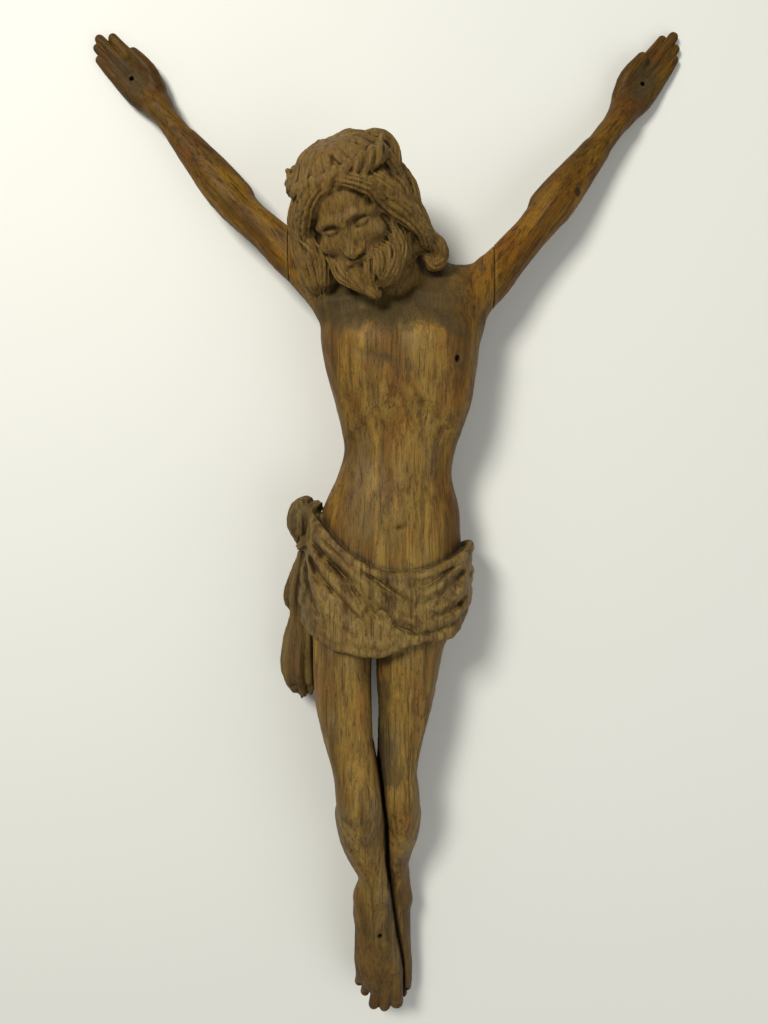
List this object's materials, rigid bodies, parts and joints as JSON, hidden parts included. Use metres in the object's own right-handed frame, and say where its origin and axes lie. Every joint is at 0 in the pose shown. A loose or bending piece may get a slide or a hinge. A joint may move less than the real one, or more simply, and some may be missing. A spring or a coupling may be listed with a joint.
{
  "type": "carved crucifix corpus figure",
  "caption": "Carved oak corpus figure for a crucifix: raised arms, bowed head with a crown of thorns, knotted loincloth, crossed feet, lying on its flat back.",
  "frame": {"origin": "middle of the figure's outline seen from the front, on the flat back plane it lies on", "axes": "+Y along the body from the toes to the head, +X towards the figure's left hand, +Z out of the front of the body, upwards as it lies on its back"},
  "size_m": [0.3196, 0.5564, 0.0902],
  "materials": {
    "oak_body": "bare oak, worn and stained with age",
    "oak_right_arm": "bare oak, grain along the arm",
    "oak_left_arm": "bare oak, grain along the arm"
  },
  "bodies": {
    "root": {"body": "oak_body", "right_arm": "oak_right_arm", "left_arm": "oak_left_arm"}
  },
  "joints": []
}
